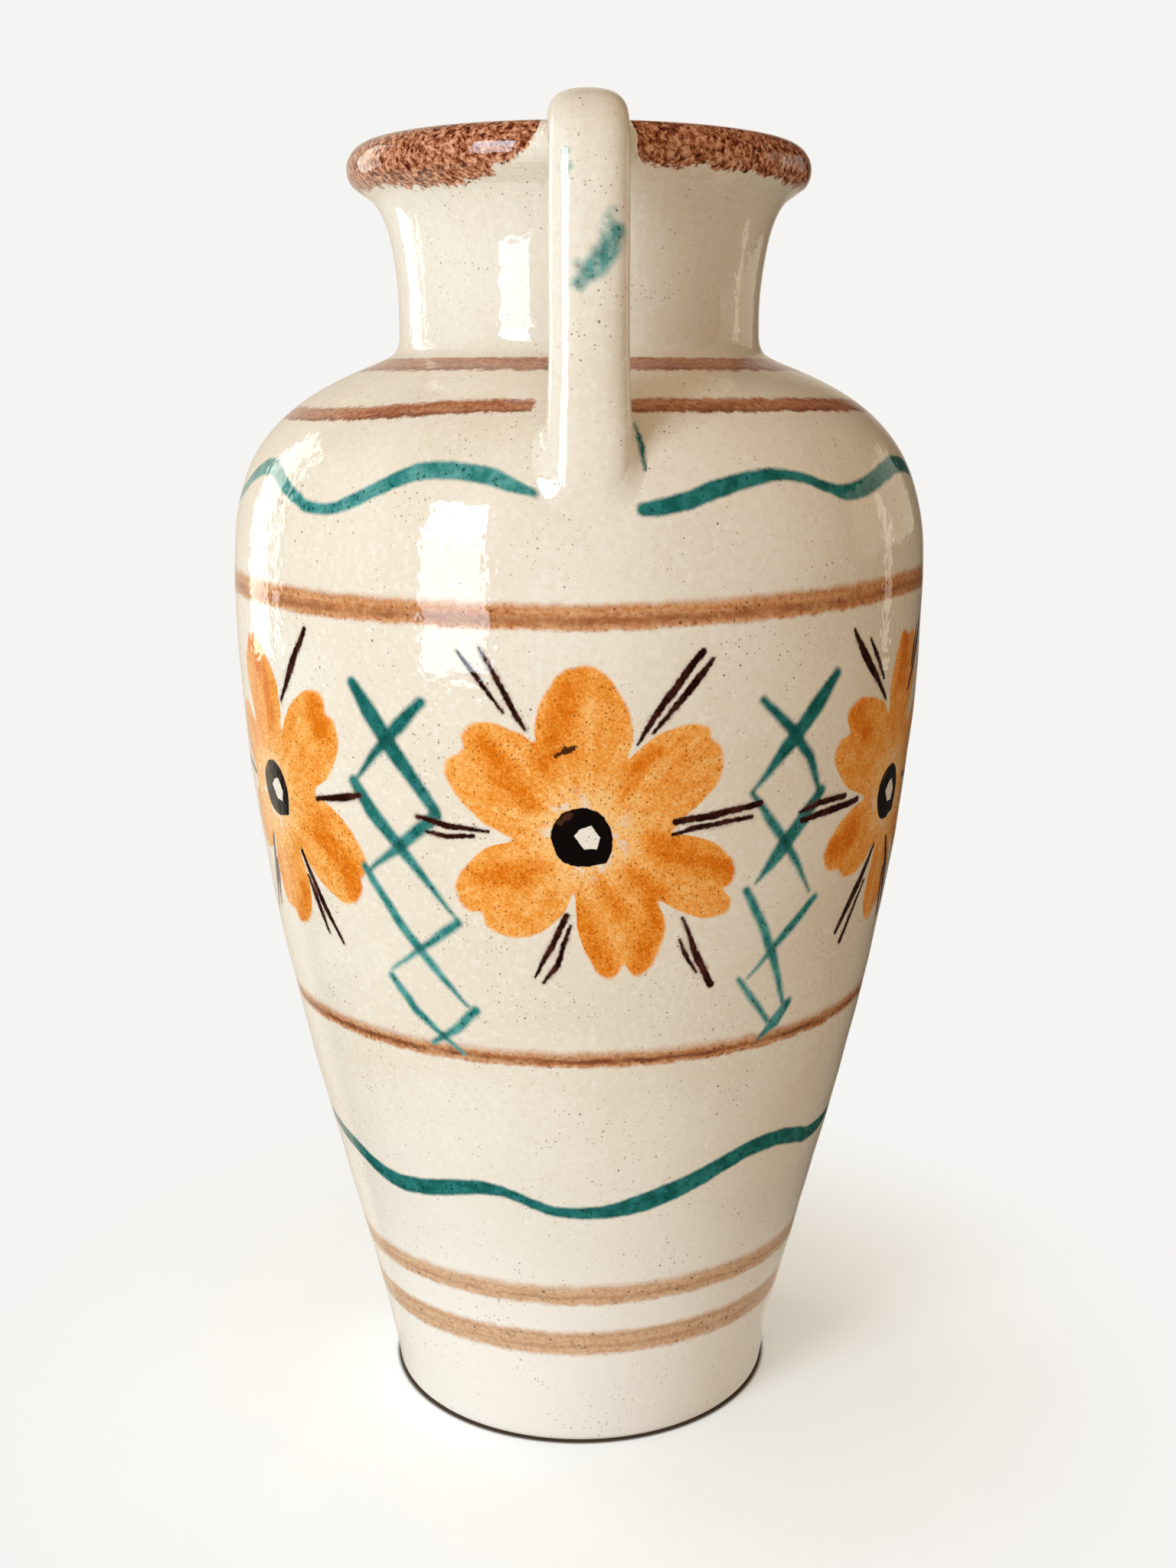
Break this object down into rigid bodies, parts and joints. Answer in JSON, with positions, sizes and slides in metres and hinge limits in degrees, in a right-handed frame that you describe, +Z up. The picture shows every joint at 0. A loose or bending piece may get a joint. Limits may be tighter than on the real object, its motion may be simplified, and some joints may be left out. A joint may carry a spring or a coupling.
{
  "type": "amphora vase",
  "caption": "Tall handled amphora vase: rolled rim, short flared neck, rounded shoulder and tapering body on a turned foot; glazed pottery that holds water or stems.",
  "frame": {"origin": "centre of the foot ring, on the surface that the vase stands on", "axes": "+Z up the vase's axis; the handles lie along -Y (front) and +Y (rear)"},
  "size_m": [0.1606, 0.1606, 0.2991],
  "materials": {
    "cream_glaze": "gloss",
    "rim_glaze": "gloss",
    "slip": "satin"
  },
  "bodies": {
    "root": {"lower_body": "cream_glaze", "belly_slip_ring": "slip", "shoulder": "cream_glaze", "neck_slip_ring": "slip", "neck": "cream_glaze", "rim_slip_ring": "slip", "rim": "rim_glaze", "front_handle": "cream_glaze", "front_handle_upper_slip": "slip", "front_handle_lower_slip": "slip", "rear_handle": "cream_glaze", "rear_handle_upper_slip": "slip", "rear_handle_lower_slip": "slip"}
  },
  "joints": []
}
